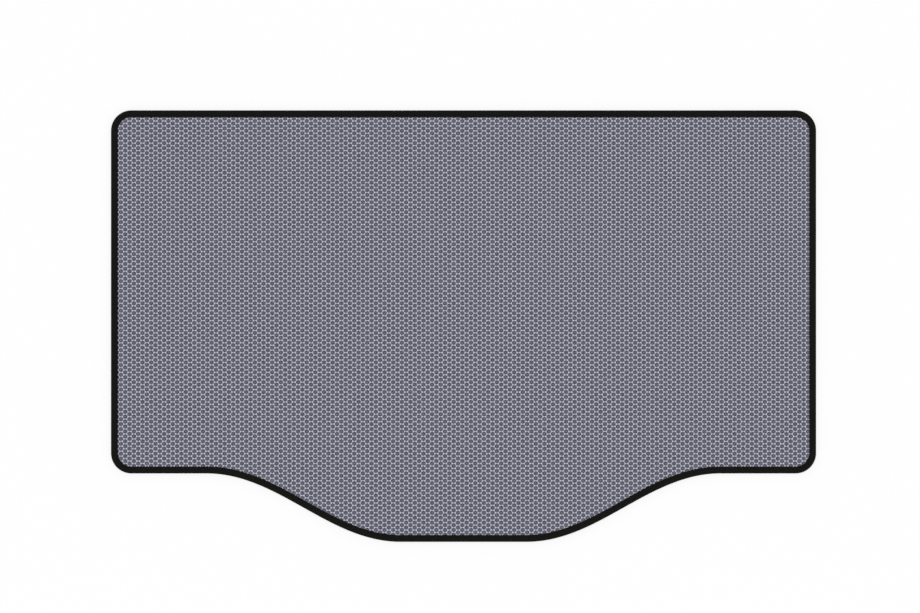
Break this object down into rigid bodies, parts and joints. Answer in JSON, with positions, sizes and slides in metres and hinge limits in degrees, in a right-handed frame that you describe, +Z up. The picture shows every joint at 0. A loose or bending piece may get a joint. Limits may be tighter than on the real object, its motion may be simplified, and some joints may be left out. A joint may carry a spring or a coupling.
{
  "type": "car boot liner",
  "caption": "Flat foam liner for a car's boot floor: honeycomb face, straight seat edge, rounded corners, a curved tongue over the sill, and a sewn folded-tape binding.",
  "frame": {"origin": "on the floor, under the centre of the liner's overall rectangle", "axes": "+X across the car, +Y towards the seat backs (the straight edge), +Z up out of the honeycomb face"},
  "size_m": [1, 0.612, 0.0109],
  "materials": {
    "foam": "matt moulded closed-cell foam with a fine grain",
    "tape": "black woven binding tape",
    "thread": "black twisted polyester sewing thread"
  },
  "bodies": {
    "root": {"honeycomb_sheet": "foam", "binding_tape": "tape", "needle_thread": "thread", "bobbin_thread": "thread"}
  },
  "joints": []
}
